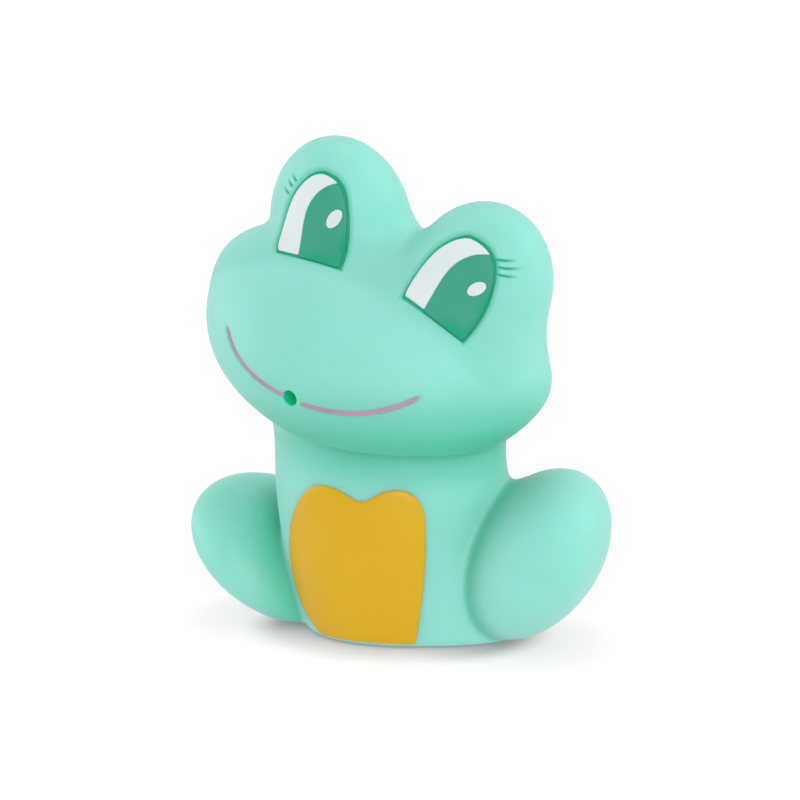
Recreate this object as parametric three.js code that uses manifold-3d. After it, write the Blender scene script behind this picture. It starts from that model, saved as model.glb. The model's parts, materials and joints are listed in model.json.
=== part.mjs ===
import * as THREE from 'three';
import { mergeVertices } from 'three/addons/utils/BufferGeometryUtils.js';
import Module from 'manifold-3d';

// A sitting frog bath toy in soft hollow vinyl, which squirts water from a hole in its mouth.
// Millimetres, +Z up. The frog looks along -Y, and +X is the frog's own left.
// The body and the head are two hollow skins. The head's neck has a lipped tube that snaps
// into a round hole in the top of the body, so the head turns about the upright neck axis.
// The eyes, the mouth line and the belly patch are coats of paint in shallow recesses.

// Skins and clearances
const skinWall = 2.1;
const turnGap = 0.3;
const coatGap = 0.3;

// Torso, an upright egg cut flat at the base
const torsoWidth = 36.9;
const torsoDepth = 30.8;
const torsoEggHeight = 83;
const torsoMiddleHeight = 28.8;
const torsoForward = 3;

// Haunches, one flat egg on each side, folded as on a sitting frog, and not quite alike
const leftHaunchThickness = 19.7;
const leftHaunchLength = 37;
const leftHaunchHeight = 28.9;
const leftHaunchOut = 23;
const leftHaunchForward = 2.6;
const leftHaunchMiddleHeight = 13.7;
const leftHaunchPitch = -20;
const leftHaunchLean = 34.6;
const leftHaunchToeOut = 16.1;
const rightHaunchThickness = 15.2;
const rightHaunchLength = 34.4;
const rightHaunchHeight = 30.4;
const rightHaunchOut = 20.5;
const rightHaunchBack = 4;
const rightHaunchMiddleHeight = 9.9;
const rightHaunchPitch = -9.7;
const rightHaunchLean = 51.7;
const rightHaunchToeOut = 13.9;

// Fillets where the forms of the body meet
const haunchFillet = 1.8;
const rumpFillet = 3;

// Rump, a low broad egg that fills out the base, more towards the frog's left
const rumpWidth = 33.6;
const rumpDepth = 27;
const rumpHeight = 34;
const rumpLeft = 6;
const rumpForward = 0.7;
const rumpMiddleHeight = 9;

// Neck seat, round so that the head can turn on it
const neckRadius = 18.35;
const neckTop = 39.7;
const neckSeatHeight = 5.2;
const neckFlareHeight = 5.5;
const neckFlareDepth = 3.4;
const neckEdgeRadius = 1.2;

// Lipped tube that holds the head in the body
const neckHoleRadius = 9.3;
const neckTubeWall = 2;
const neckLip = 1.4;
const neckLipHeight = 1;
const neckLeadHeight = 2.2;

// Place and turn of the head, in degrees
const headSide = -1.75;
const headForward = 2.45;
const headHeight = 47.6;
const headYaw = 8.5;
const headRoll = 18.7;
const headPitch = 9;

// Forms of the head: the broad muzzle, the crown, the back of the head and the two eye domes
const muzzleWidth = 50.4;
const muzzleDepth = 42;
const muzzleHeight = 27;
const muzzleForward = 4.4;
const muzzleDrop = 3.2;
const crownWidth = 57.2;
const crownDepth = 31.2;
const crownHeight = 24;
const crownRise = 0.9;
const napeWidth = 44;
const napeDepth = 33;
const napeHeight = 29;
const napeSide = -1;
const napeBack = 7;
const napeDrop = 2.5;
const domeWidth = 22.9;
const domeDepth = 19.6;
const domeHeight = 29.8;
const domeOut = 12.4;
const domeBack = 3.75;
const domeRise = 11.5;
const domeTilt = 12.9;
const domePitch = 12;
const napeBlend = 5;
const muzzleBlend = 7.6;
const domeBlend = 4.9;

// Squirt hole, in the head's own frame
const squirtHoleRadius = 1.25;
const squirtHoleSide = -0.7;
const squirtHoleDrop = 3.9;

// Paint coats: how deep each recess is and where its coat lies
const coatThickness = 0.35;
const eyeCoatDepth = 0.25;
const patchRaise = 0.45;
const patchCoatThickness = 0.85;
const mouthLineWidth = 0.56;
const mouthLineDepth = 0.15;

// Mesh fineness
const bodyDetail = 9;
const headDetail = 10;
const insideDetail = 3;
const headInsideDetail = 5;
const haunchDetail = 6;
const patchDetail = 8;
const roundSegments = 36;

const wasm = await Module();
wasm.setup();

function toSolid(geometry) {
  const bare = geometry.clone();
  bare.deleteAttribute('normal');
  bare.deleteAttribute('uv');
  const merged = mergeVertices(bare, 1e-4);
  const vertProperties = new Float32Array(merged.attributes.position.array);
  const triVerts = new Uint32Array(merged.index.array);
  return new wasm.Manifold(new wasm.Mesh({ numProp: 3, vertProperties, triVerts }));
}

function toMesh(name, solid, material) {
  const mesh = solid.getMesh();
  const geometry = new THREE.BufferGeometry();
  geometry.setAttribute('position', new THREE.BufferAttribute(mesh.vertProperties, 3));
  geometry.setIndex(new THREE.BufferAttribute(mesh.triVerts, 1));
  geometry.computeVertexNormals();
  const part = new THREE.Mesh(geometry, material);
  part.name = name;
  return part;
}

function turned(pitch, roll, yaw) {
  const radians = [pitch, roll, yaw].map(THREE.MathUtils.degToRad);
  return new THREE.Euler(...radians, 'ZYX');
}

function placement(centre, turn) {
  const quaternion = new THREE.Quaternion().setFromEuler(turn);
  return new THREE.Matrix4().compose(centre, quaternion, new THREE.Vector3(1, 1, 1));
}

// An egg has a centre, full sizes along its own three axes, and a turn
function egg(centre, sizes, turn = turned(0, 0, 0)) {
  return { centre: new THREE.Vector3(...centre), sizes, turn };
}

function eggField({ centre, sizes, turn }) {
  const toLocal = placement(centre, turn).invert();
  const radii = new THREE.Vector3(...sizes).multiplyScalar(0.5);
  const local = new THREE.Vector3();
  return (point) => {
    const scaled = local.copy(point).applyMatrix4(toLocal).divide(radii);
    const first = scaled.length();
    const second = scaled.divide(radii).length();
    return second > 0 ? (first * (first - 1)) / second : -radii.x;
  };
}

function eggSolid({ centre, sizes, turn }, grow, detail) {
  const geometry = new THREE.IcosahedronGeometry(1, detail);
  geometry.scale(...sizes.map((size) => size / 2 + grow));
  geometry.applyMatrix4(placement(centre, turn));
  return toSolid(geometry);
}

// How far two forms swell towards each other where their surfaces come close
function swelling(a, b, blend) {
  const overlap = Math.max(blend - Math.abs(a - b), 0) / blend;
  return (overlap * overlap * blend) / 4;
}

// Two forms flow into each other over the width of the blend
function blended(fieldA, fieldB, blend) {
  return (point) => {
    const a = fieldA(point);
    const b = fieldB(point);
    return Math.min(a, b) - swelling(a, b, blend);
  };
}

// One form alone, swollen where it meets its neighbours, so that their union has fillets
function swollen(field, neighbours, blend) {
  return (point) => {
    const own = field(point);
    const swells = neighbours.map((neighbour) => swelling(own, neighbour(point), blend));
    return own - swells.reduce((sum, swell) => sum + swell, 0);
  };
}

// A sphere whose points slide along their own rays to where the field reaches the level
function wrappedSphere(field, centre, detail, level = 0) {
  const sphere = new THREE.IcosahedronGeometry(1, detail);
  const positions = sphere.attributes.position;
  const direction = new THREE.Vector3();
  const point = new THREE.Vector3();
  const valueAt = (distance) => field(point.copy(centre).addScaledVector(direction, distance)) - level;
  for (let index = 0; index < positions.count; index += 1) {
    direction.fromBufferAttribute(positions, index).normalize();
    let near = 0;
    let far = 0;
    while (valueAt(far) < 0) {
      near = far;
      far += 0.5;
    }
    for (let halving = 0; halving < 24; halving += 1) {
      const middle = (near + far) / 2;
      if (valueAt(middle) < 0) near = middle;
      else far = middle;
    }
    valueAt((near + far) / 2);
    positions.setXYZ(index, point.x, point.y, point.z);
  }
  return toSolid(sphere);
}

// A solid turned about the upright neck axis, from radius and height pairs
function onNeckAxis(profile, place = new THREE.Matrix4()) {
  const points = profile.map(([radius, height]) => new THREE.Vector2(radius, height));
  const geometry = new THREE.LatheGeometry(points, roundSegments);
  geometry.rotateX(Math.PI / 2);
  geometry.translate(0, -torsoForward, 0);
  geometry.applyMatrix4(place);
  return toSolid(geometry);
}

function joined(solids) {
  return solids.reduce((whole, solid) => whole.add(solid));
}

function slab(low, high) {
  const reach = 300;
  const geometry = new THREE.BoxGeometry(reach, reach, high - low);
  geometry.translate(0, 0, (low + high) / 2);
  return toSolid(geometry);
}

function outlinePoints(shape, divisions) {
  const points = shape.getPoints(divisions);
  const last = points[points.length - 1];
  if (last.distanceTo(points[0]) < 1e-6) points.pop();
  return points;
}

// Moves each point of a closed outline outward by the same amount
function offsetOutline(points, amount) {
  const turn = THREE.ShapeUtils.isClockWise(points) ? -1 : 1;
  return points.map((point, index) => {
    const before = points[(index + points.length - 1) % points.length];
    const after = points[(index + 1) % points.length];
    const along = after.clone().sub(before).normalize();
    return new THREE.Vector2(point.x + turn * along.y * amount, point.y - turn * along.x * amount);
  });
}

// An outline drawn in X and Z, pushed along Y between two depths
function frontPrism(points, front, back) {
  const geometry = new THREE.ExtrudeGeometry(new THREE.Shape(points), {
    depth: back - front,
    bevelEnabled: false,
  });
  geometry.rotateX(Math.PI / 2);
  geometry.translate(0, back, 0);
  return toSolid(geometry);
}

// The egg forms of the body
const torso = egg([0, -torsoForward, torsoMiddleHeight], [torsoWidth, torsoDepth, torsoEggHeight]);
const leftHaunch = egg(
  [leftHaunchOut, -leftHaunchForward, leftHaunchMiddleHeight],
  [leftHaunchThickness, leftHaunchLength, leftHaunchHeight],
  turned(leftHaunchPitch, leftHaunchLean, leftHaunchToeOut),
);
const rightHaunch = egg(
  [-rightHaunchOut, rightHaunchBack, rightHaunchMiddleHeight],
  [rightHaunchThickness, rightHaunchLength, rightHaunchHeight],
  turned(rightHaunchPitch, -rightHaunchLean, -rightHaunchToeOut),
);
const rump = egg([rumpLeft, -rumpForward, rumpMiddleHeight], [rumpWidth, rumpDepth, rumpHeight]);
const haunches = [leftHaunch, rightHaunch];

// The torso and the rump flow into one belly form, round a point that lies inside both
const bellyField = blended(eggField(torso), eggField(rump), rumpFillet);
const bellyMiddle = torso.centre.clone().add(rump.centre).multiplyScalar(0.5);

function neckSeat(inset) {
  const top = neckTop - inset;
  const edge = neckEdgeRadius;
  const seatStart = neckTop - neckSeatHeight;
  const outer = neckRadius - inset;
  const profile = [
    [0, seatStart - neckFlareHeight],
    [outer - neckFlareDepth, seatStart - neckFlareHeight],
    [outer - neckFlareDepth * 0.3, seatStart - neckFlareHeight * 0.4],
    [outer, seatStart],
    [outer, top - edge],
    [outer - edge * 0.3, top - edge * 0.3],
    [outer - edge, top],
    [0, top],
  ];
  return onNeckAxis(profile);
}

function buildBodySkin() {
  const haunchFields = haunches.map(eggField);
  const torsoTop = neckTop - neckSeatHeight + neckEdgeRadius;
  const outsides = haunches.map((haunch, index) => (
    wrappedSphere(swollen(haunchFields[index], [bellyField], haunchFillet), haunch.centre, haunchDetail)
  ));
  outsides.push(wrappedSphere(swollen(bellyField, haunchFields, haunchFillet), bellyMiddle, bodyDetail));
  const insides = [torso, rump, ...haunches].map((form) => eggSolid(form, -skinWall, insideDetail));
  let outside = joined(outsides);
  let inside = joined(insides);
  outside = outside.intersect(slab(0, torsoTop)).add(neckSeat(0));
  inside = inside.intersect(slab(skinWall, torsoTop)).add(neckSeat(skinWall));
  const hole = onNeckAxis([
    [0, neckTop - skinWall * 2],
    [neckHoleRadius, neckTop - skinWall * 2],
    [neckHoleRadius, neckTop + skinWall],
    [0, neckTop + skinWall],
  ]);
  return outside.subtract(inside).subtract(hole);
}

// Belly patch: a bib with a heart-like notch at the top, down to the base. It reaches further
// to the frog's right than to its left.
const patchLeft = 9.5;
const patchRight = 13.4;
const patchTop = 25.7;
const patchShoulderDrop = 4.6;
const patchWaistDrop = 8;
const patchNotchSide = 0.1;
const patchNotchHeight = 23.7;
const patchLeftLobe = 3.4;
const patchRightLobe = 4;
const patchLobeDrop = 0.4;
const patchBottom = 0.75;
const patchBottomLeft = 7.2;
const patchBottomRight = 8.3;
const patchLeftRise = 6;
const patchRightRise = 3.9;
const patchRightBulge = 0.8;
const patchRightShoulderIn = 0.77;
const patchRightShoulderDrop = 6.9;

// Pulls that round the patch: each is how far in or out and how far up or down it draws
const patchLeftTaper = 0.6;
const patchRightWaistRise = 1;
const leftCornerPull = [0.4, 0.6];
const leftLobePull = [2.8, 0.7];
const leftNotchPull = [1.4, 0.7];
const rightNotchPull = [1.8, 0.8];
const rightLobePull = [2, 0.9];
const rightCornerPull = [1.6, 2];

function patchOutline() {
  const shoulder = patchTop - patchShoulderDrop;
  const waist = shoulder - patchWaistDrop;
  const lobeHeight = patchTop - patchLobeDrop;
  const rightEdge = -patchRight - patchRightBulge;
  const shape = new THREE.Shape();
  shape.moveTo(patchBottomLeft, patchBottom);
  shape.bezierCurveTo(
    patchLeft - patchLeftTaper, patchBottom + patchLeftRise, patchLeft, waist, patchLeft, shoulder);
  shape.bezierCurveTo(
    patchLeft - leftCornerPull[0], patchTop - leftCornerPull[1],
    patchLeft - leftLobePull[0], patchTop + leftLobePull[1],
    patchNotchSide + patchLeftLobe, lobeHeight);
  shape.quadraticCurveTo(
    patchNotchSide + leftNotchPull[0], patchNotchHeight + leftNotchPull[1],
    patchNotchSide, patchNotchHeight);
  shape.quadraticCurveTo(
    patchNotchSide - rightNotchPull[0], patchNotchHeight + rightNotchPull[1],
    patchNotchSide - patchRightLobe, lobeHeight);
  shape.bezierCurveTo(
    rightLobePull[0] - patchRight, patchTop + rightLobePull[1],
    rightCornerPull[0] - patchRight, patchTop - rightCornerPull[1],
    patchRightShoulderIn - patchRight, patchTop - patchRightShoulderDrop);
  shape.bezierCurveTo(
    rightEdge, waist + patchRightWaistRise, rightEdge, patchBottom + patchRightRise,
    -patchBottomRight, patchBottom);
  shape.closePath();
  return outlinePoints(shape, 8);
}

function buildPatch() {
  const outline = patchOutline();
  const front = -torsoForward - torsoDepth;
  const coatBottom = patchRaise - patchCoatThickness;
  const prism = frontPrism(outline, front, -torsoForward);
  const widePrism = frontPrism(offsetOutline(outline, coatGap), front, -torsoForward);
  const bellyLevel = (level) => wrappedSphere(bellyField, bellyMiddle, patchDetail, level);
  const coat = prism.intersect(bellyLevel(patchRaise)).subtract(bellyLevel(coatBottom));
  const recess = widePrism.subtract(bellyLevel(coatBottom - coatGap));
  return { coat, recess };
}

// The head is modelled in its own frame and turned into place as a group
const headPlace = placement(
  new THREE.Vector3(headSide, -headForward, headHeight), turned(headPitch, headRoll, -headYaw));
const toHead = headPlace.clone().invert();

function headFieldOf() {
  const muzzle = egg([0, -muzzleForward, -muzzleDrop], [muzzleWidth, muzzleDepth, muzzleHeight]);
  const crown = egg([0, 0, crownRise], [crownWidth, crownDepth, crownHeight]);
  const nape = egg([napeSide, napeBack, -napeDrop], [napeWidth, napeDepth, napeHeight]);
  const skull = blended(eggField(crown), eggField(nape), napeBlend);
  let field = blended(eggField(muzzle), skull, muzzleBlend);
  for (const side of [-1, 1]) {
    const turn = turned(domePitch, side * domeTilt, 0);
    const dome = egg([side * domeOut, domeBack, domeRise], [domeWidth, domeDepth, domeHeight], turn);
    field = blended(field, eggField(dome), domeBlend);
  }
  return field;
}

const headField = headFieldOf();
const headMiddle = new THREE.Vector3(0, 0, 1);

function headLevel(level) {
  return wrappedSphere(headField, headMiddle, headDetail, level);
}

// The first point that a line along +Y meets on the given level of the head
function faceField(x, z, level) {
  const point = new THREE.Vector3(x, -muzzleForward - muzzleDepth, z);
  while (headField(point) > level + 0.01) point.y += Math.max((headField(point) - level) * 0.5, 0.005);
  return point;
}

function neckSocket(grow) {
  const outer = neckRadius + turnGap + grow;
  const top = neckTop + turnGap + grow;
  const edge = neckEdgeRadius;
  const profile = [
    [0, 0],
    [outer, 0],
    [outer, top - edge],
    [outer - edge * 0.3, top - edge * 0.3],
    [outer - edge, top],
    [0, top],
  ];
  return onNeckAxis(profile, toHead);
}

function neckTube() {
  const outer = neckHoleRadius - turnGap;
  const inner = outer - neckTubeWall;
  const root = neckTop + turnGap + skinWall / 2;
  const lipTop = neckTop - skinWall - turnGap;
  const lipBottom = lipTop - neckLipHeight;
  const end = lipBottom - neckLeadHeight;
  const profile = [
    [inner, root],
    [inner, end],
    [outer - neckLip * 0.4, end],
    [outer + neckLip, lipBottom],
    [outer + neckLip, lipTop],
    [outer, lipTop],
    [outer, root],
    [inner, root],
  ];
  return onNeckAxis(profile, toHead);
}

function neckBore() {
  const bore = neckHoleRadius - turnGap - neckTubeWall;
  const top = neckTop + turnGap + skinWall * 2;
  const profile = [
    [0, neckTop - skinWall],
    [bore, neckTop - skinWall],
    [bore, top],
    [0, top],
  ];
  return onNeckAxis(profile, toHead);
}

function squirtHole() {
  const mouth = faceField(squirtHoleSide, -squirtHoleDrop, 0);
  const length = skinWall * 4;
  const geometry = new THREE.CylinderGeometry(squirtHoleRadius, squirtHoleRadius, length, 24);
  geometry.applyQuaternion(new THREE.Quaternion().setFromUnitVectors(
    new THREE.Vector3(0, 1, 0), mouth.clone().normalize()));
  geometry.translate(mouth.x, mouth.y, mouth.z);
  return toSolid(geometry);
}

// Eyes, in X and Z of the head: an upright arch over a slanting lower edge with two sharp
// corners. The pulls say how each side of the arch leaves its corner.
const eyeTop = 22.8;
const eyeArchInner = 4.6;
const eyeArchOuter = 5.3;
const glintWidth = 2.1;
const glintHeight = 3.4;
const eyes = [
  {
    side: 1,
    name: 'left',
    outer: [17.9, 8.6],
    outerPull: [2, 9],
    inner: [6.4, 11.65],
    innerPull: [-0.9, 4.2],
    top: [12.9, eyeTop],
    lowerBulge: 0.7,
    edge: [[10.3, 8.5], [9.2, 16.4], [11.7, 21.2], [18.6, 21.4]],
    glint: [16.1, 15.7],
    glintLean: 45,
  },
  {
    side: -1,
    name: 'right',
    outer: [-15.5, 9.6],
    outerPull: [-4.5, 3.6],
    inner: [-3.9, 11.6],
    innerPull: [-3.3, 3.6],
    top: [-13.2, eyeTop],
    lowerBulge: 0.3,
    edge: [[-12.2, 8.5], [-15.4, 15.2], [-14.9, 21], [-8.6, 22.6]],
    glint: [-9.5, 16.6],
    glintLean: 17,
  },
];

function eyeOutline({ side, outer, outerPull, inner, innerPull, top, lowerBulge }) {
  const shape = new THREE.Shape();
  shape.moveTo(...outer);
  shape.bezierCurveTo(
    outer[0] + outerPull[0], outer[1] + outerPull[1], top[0] + side * eyeArchOuter, top[1], ...top);
  shape.bezierCurveTo(
    top[0] - side * eyeArchInner, top[1], inner[0] + innerPull[0], inner[1] + innerPull[1], ...inner);
  shape.quadraticCurveTo(
    (inner[0] + outer[0]) / 2, (inner[1] + outer[1]) / 2 + lowerBulge, ...outer);
  return outlinePoints(shape, 12);
}

// The green part of an eye lies on the +X side of a curved edge
function irisRegion(edge, shift) {
  const far = 60;
  const [start, firstPull, lastPull, end] = edge;
  const shape = new THREE.Shape();
  shape.moveTo(start[0] + shift, start[1] - far);
  shape.lineTo(start[0] + shift, start[1]);
  shape.bezierCurveTo(
    firstPull[0] + shift, firstPull[1] - shift, lastPull[0] + shift, lastPull[1] - shift,
    end[0] + shift, end[1] - shift);
  shape.lineTo(far, end[1] - shift);
  shape.lineTo(far, start[1] - far);
  shape.closePath();
  return outlinePoints(shape, 12);
}

function glintOutline([x, z], lean, grow) {
  const curve = new THREE.EllipseCurve(
    x, z, glintWidth / 2 + grow, glintHeight / 2 + grow, 0, Math.PI * 2, false,
    -THREE.MathUtils.degToRad(lean));
  return curve.getPoints(16).slice(0, -1);
}

function eyePrism(points) {
  return frontPrism(points, -muzzleForward - muzzleDepth, domeBack - 1);
}

function buildEyes(headLevels) {
  const band = headLevels.coatTop.subtract(headLevels.coatBottom);
  return eyes.map((drawn) => {
    const { name, edge, glint, glintLean } = drawn;
    const outline = eyeOutline(drawn);
    const eye = band.intersect(eyePrism(outline));
    const iris = eye.intersect(eyePrism(irisRegion(edge, 0)));
    return {
      name,
      white: eye.subtract(eyePrism(irisRegion(edge, -coatGap))),
      iris: iris.subtract(eyePrism(glintOutline(glint, glintLean, coatGap))),
      glint: iris.intersect(eyePrism(glintOutline(glint, glintLean, 0))),
      recess: eyePrism(offsetOutline(outline, coatGap)).subtract(headLevels.recessFloor),
    };
  });
}

// Mouth: one line on each side of the squirt hole, in X and Z of the head. Each starts near
// the hole, is drawn towards two pulls and ends at a corner of the mouth.
const mouthLines = [
  { name: 'mouth_line_left', start: [1.1, -3.9], pulls: [[6, -3.4], [13.5, -1.7]], corner: [16.7, 1.9] },
  {
    name: 'mouth_line_right',
    start: [-2.4, -3.8],
    pulls: [[-7, -4.1], [-12.2, -3.1]],
    corner: [-16.8, -0.1],
  },
];

function roundLine(curve, radius) {
  const section = new THREE.Shape();
  section.absarc(0, 0, radius, 0, Math.PI * 2);
  const geometry = new THREE.ExtrudeGeometry(section, {
    steps: 14,
    curveSegments: 4,
    extrudePath: curve,
  });
  return toSolid(geometry);
}

function buildMouth() {
  return mouthLines.map(({ name, start, pulls, corner }) => {
    const places = [start, ...pulls, corner].map((place) => new THREE.Vector2(...place));
    const drawn = new THREE.CubicBezierCurve(...places);
    const onFace = drawn.getPoints(12).map(({ x, y }) => faceField(x, y, -mouthLineDepth));
    const groovePath = new THREE.CatmullRomCurve3(onFace);
    const margin = (coatGap * 1.5) / groovePath.getLength();
    const linePoints = [];
    for (let step = 0; step <= 12; step += 1) {
      linePoints.push(groovePath.getPointAt(margin + (step / 12) * (1 - margin * 2)));
    }
    const radius = mouthLineWidth / 2;
    return {
      name,
      line: roundLine(new THREE.CatmullRomCurve3(linePoints), radius),
      groove: roundLine(groovePath, radius + coatGap),
    };
  });
}

function buildHeadSkin(recesses) {
  const cavity = wrappedSphere(headField, headMiddle, headInsideDetail, -skinWall);
  let skin = headLevel(0).subtract(neckSocket(0));
  skin = skin.subtract(cavity.subtract(neckSocket(skinWall)));
  skin = skin.add(neckTube()).subtract(neckBore()).subtract(squirtHole());
  for (const recess of recesses) skin = skin.subtract(recess);
  return skin;
}

// Looks
function vinyl(color, roughness) {
  return new THREE.MeshStandardMaterial({ color, roughness, metalness: 0 });
}
const mintVinyl = () => vinyl('#8ce1cd', 0.45);
const yellowPaint = () => vinyl('#dcb226', 0.5);
const whitePaint = () => vinyl('#e2e8eb', 0.4);
const greenPaint = () => vinyl('#48a88c', 0.4);
const pinkPaint = () => vinyl('#d796b9', 0.5);

const frog = new THREE.Group();
const patch = buildPatch();
frog.add(toMesh('body_skin', buildBodySkin().subtract(patch.recess), mintVinyl()));
frog.add(toMesh('belly_patch', patch.coat, yellowPaint()));

const head = new THREE.Group();
head.applyMatrix4(headPlace);
frog.add(head);
const headLevels = {
  coatTop: headLevel(-eyeCoatDepth),
  coatBottom: headLevel(-eyeCoatDepth - coatThickness),
  recessFloor: headLevel(-eyeCoatDepth - coatThickness - coatGap),
};
const builtEyes = buildEyes(headLevels);
const builtMouth = buildMouth();
const recesses = [...builtEyes.map(({ recess }) => recess), ...builtMouth.map(({ groove }) => groove)];
head.add(toMesh('head_skin', buildHeadSkin(recesses), mintVinyl()));
for (const { name, white, iris, glint } of builtEyes) {
  head.add(toMesh(`${name}_eye_white`, white, whitePaint()));
  head.add(toMesh(`${name}_eye_iris`, iris, greenPaint()));
  head.add(toMesh(`${name}_eye_glint`, glint, whitePaint()));
}
for (const { name, line } of builtMouth) head.add(toMesh(name, line, pinkPaint()));

// The origin is the middle of the base, below the middle of the whole toy
const group = new THREE.Group();
group.add(frog);
frog.updateMatrixWorld(true);
const box = new THREE.Box3().setFromObject(frog, true);
const middle = box.getCenter(new THREE.Vector3());
frog.position.set(-middle.x, -middle.y, -box.min.z);

export default group;
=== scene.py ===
import itertools
import json
import math

import bpy
import numpy as np
from mathutils import Euler, Matrix, Vector
from mathutils.geometry import delaunay_2d_cdt


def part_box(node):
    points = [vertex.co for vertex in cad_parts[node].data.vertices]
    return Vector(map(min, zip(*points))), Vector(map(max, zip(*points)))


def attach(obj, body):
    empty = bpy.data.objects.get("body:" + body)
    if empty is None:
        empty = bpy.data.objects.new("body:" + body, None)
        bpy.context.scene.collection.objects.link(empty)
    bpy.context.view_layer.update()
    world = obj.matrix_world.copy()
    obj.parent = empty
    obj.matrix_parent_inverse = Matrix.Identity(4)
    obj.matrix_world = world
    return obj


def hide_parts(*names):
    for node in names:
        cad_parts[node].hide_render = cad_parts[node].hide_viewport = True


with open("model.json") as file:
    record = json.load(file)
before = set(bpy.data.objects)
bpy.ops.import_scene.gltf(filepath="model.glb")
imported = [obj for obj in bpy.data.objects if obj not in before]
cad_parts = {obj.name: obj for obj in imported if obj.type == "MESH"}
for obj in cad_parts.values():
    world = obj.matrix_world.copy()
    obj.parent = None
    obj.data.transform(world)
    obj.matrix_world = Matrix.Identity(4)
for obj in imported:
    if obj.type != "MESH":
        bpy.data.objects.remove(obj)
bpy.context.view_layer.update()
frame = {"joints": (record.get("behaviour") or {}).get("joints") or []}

# A sitting frog bath toy in soft mint vinyl, with painted eyes, mouth line and bib.
# Lengths are in millimetres until a mesh or a lamp is made. The toy looks along -Y, and +X is
# its own left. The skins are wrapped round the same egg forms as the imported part.

MM = 0.001

# Keeps a division safe where a length is nothing
nearly_nothing = 1e-9

# Place of the neck, read from the frame
neck_x, neck_y, neck_top = (value / MM for value in frame["joints"][0]["pos_m"])

# Torso, an upright egg
torso_width = 36.4
torso_depth = 30.8
torso_egg_height = 83
torso_middle_height = 28.8
torso_forward = 3
torso_aside = -0.25
toy_middle = np.array([neck_x, neck_y + torso_forward, 0])

# Haunches
left_haunch_sizes = (19.7, 37, 28.9)
left_haunch_centre = (23, -2.6, 13.7)
left_haunch_turn = (-20, 34.6, 16.1)
right_haunch_sizes = (15.2, 34.4, 30.4)
right_haunch_centre = (-20.5, 4, 9.9)
right_haunch_turn = (-9.7, -51.7, -13.9)

# Rump
rump_centre = (6, -0.7, 9)
rump_sizes = (33.6, 27, 34)

# Fillets where the forms of the body meet
haunch_fillet = 1.8
haunch_top_fillet = 5
haunch_top_heights = (20, 28)
rump_fillet = 3

# Neck, round so that the head can turn on it
neck_radius = 18.35
neck_seat_height = 5.2
neck_blend = 5
neck_edge_blend = 2
turn_gap = 0.3
seat_overrun = turn_gap / 3
under_head_slope = 8
base_edge_blend = 1.5
socket_edge_blend = 0.5

# Place and turn of the head
head_place = (-1.75, -2.45, 47.6)
head_turn = (9, 18.7, -8.5)

# Forms of the head
muzzle_centre = (0, -4.4, -3.2)
muzzle_sizes = (50.4, 42, 27)
crown_centre = (0, 0, 0.9)
crown_sizes = (57.2, 31.2, 24)
nape_centre = (-1, 7, -2.5)
nape_sizes = (44, 33, 29)
dome_centre = (12.4, 3.75, 11.5)
dome_sizes = (22.9, 19.6, 29.6)
dome_pitch = 12
dome_tilt = 12.9
nape_blend = 5
muzzle_blend = 7.6
dome_blend = 4.9

# The right eye dome meets the muzzle in a sharper corner at its outer side, between these places
outer_corner_blend = 2
outer_corner_side = (17.5, 21.5)

# Squirt hole
squirt_hole_radius = 1.25
squirt_hole_place = (-0.7, -3.9)
squirt_hole_depth = 4
squirt_hole_edge = 0.3
squirt_hole_overreach = 3
# Painted glow and painted shade inside the squirt hole: from and to which depth, and how far past
# its side and its end
hole_painted_glow_depths = (0.1, 0.7)
hole_painted_glow_margins = (0.1, 1.5)

# Eyes, drawn in X and Z of the head
eye_recess_depth = 0.42
eye_recess_lip = 0.05
eye_wall_width = 0.35
eye_room = 1
# Painted shade: a fainter ring of deeper green round each eye, this strong and this wide
eye_painted_shade_ring = 0.4
eye_painted_shade_ring_width = 0.7
eye_coat_depth = 0.24
eye_coat_thickness = 0.14
eye_coat_edge = 0.12
glint_rise = 0.05
# The coats are shifted towards the toy's right and down, so that the painted shade of the sunken
# outline shows wider at the top and on the toy's left side
white_inset = 0.5
white_shift = (-0.1, -0.1)
iris_inset = 0.42
iris_shift = (-0.07, -0.2)
# Painted shade: a deeper green along the rim of the green part of each eye, on its lower side
# towards the toy's left: how wide, which way, and over how far along that way it grows
iris_painted_shade_width = 1.5
iris_painted_shade_way = np.array([0.75, -0.66])
iris_painted_shade_start = 4

# Mouth line. A groove fades in and out over these shares of its length.
mouth_groove_depth = 0.34
mouth_groove_reach = 0.62
mouth_groove_fades = (0.03, 0.12)
# Painted shade in the groove, as a share of the deeper green
mouth_groove_painted_shade = 0.6
mouth_back_limit = -10
mouth_paint_widths = {"left": (0.72, 0.66), "right": (0.68, 0.42)}
mouth_paint_depth = 0.12
mouth_paint_tapers = (0.02, 0.12)
mouth_paint_end_share = 0.5
mouth_paint_edge = 0.25
mouth_paint_thickness = 0.12

# Lashes: fine grooves, with painted shade in them
lash_depth = 0.3
lash_reach = 0.36
lash_fades = (0.05, 0.6)
lash_room = 4
lash_back_limit = 4

# Bib
bib_raise = 0.42
bib_overlap = 0.05
bib_pillow_width = 1.7

# Painted shade, a deeper green where shade falls: how strong it is and how far it reaches, on the
# left and the right haunch beside the belly, round the neck, under the chin and above the muzzle.
# The head leans to its left; the painted shade round the neck fades towards the toy's right.
crease_shades = ((0.5, 6), (0.65, 8))
crease_edge = 1
neck_shade = 0.62
neck_reach = 7.5
neck_shade_depth = 3
neck_shade_fade = 0.6
neck_shade_fade_reach = 16
chin_shade = 0.7
chin_reach = 14
brow_shade = 0.22
brow_reach = 6
brow_edge = 1
brow_front = 6

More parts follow.
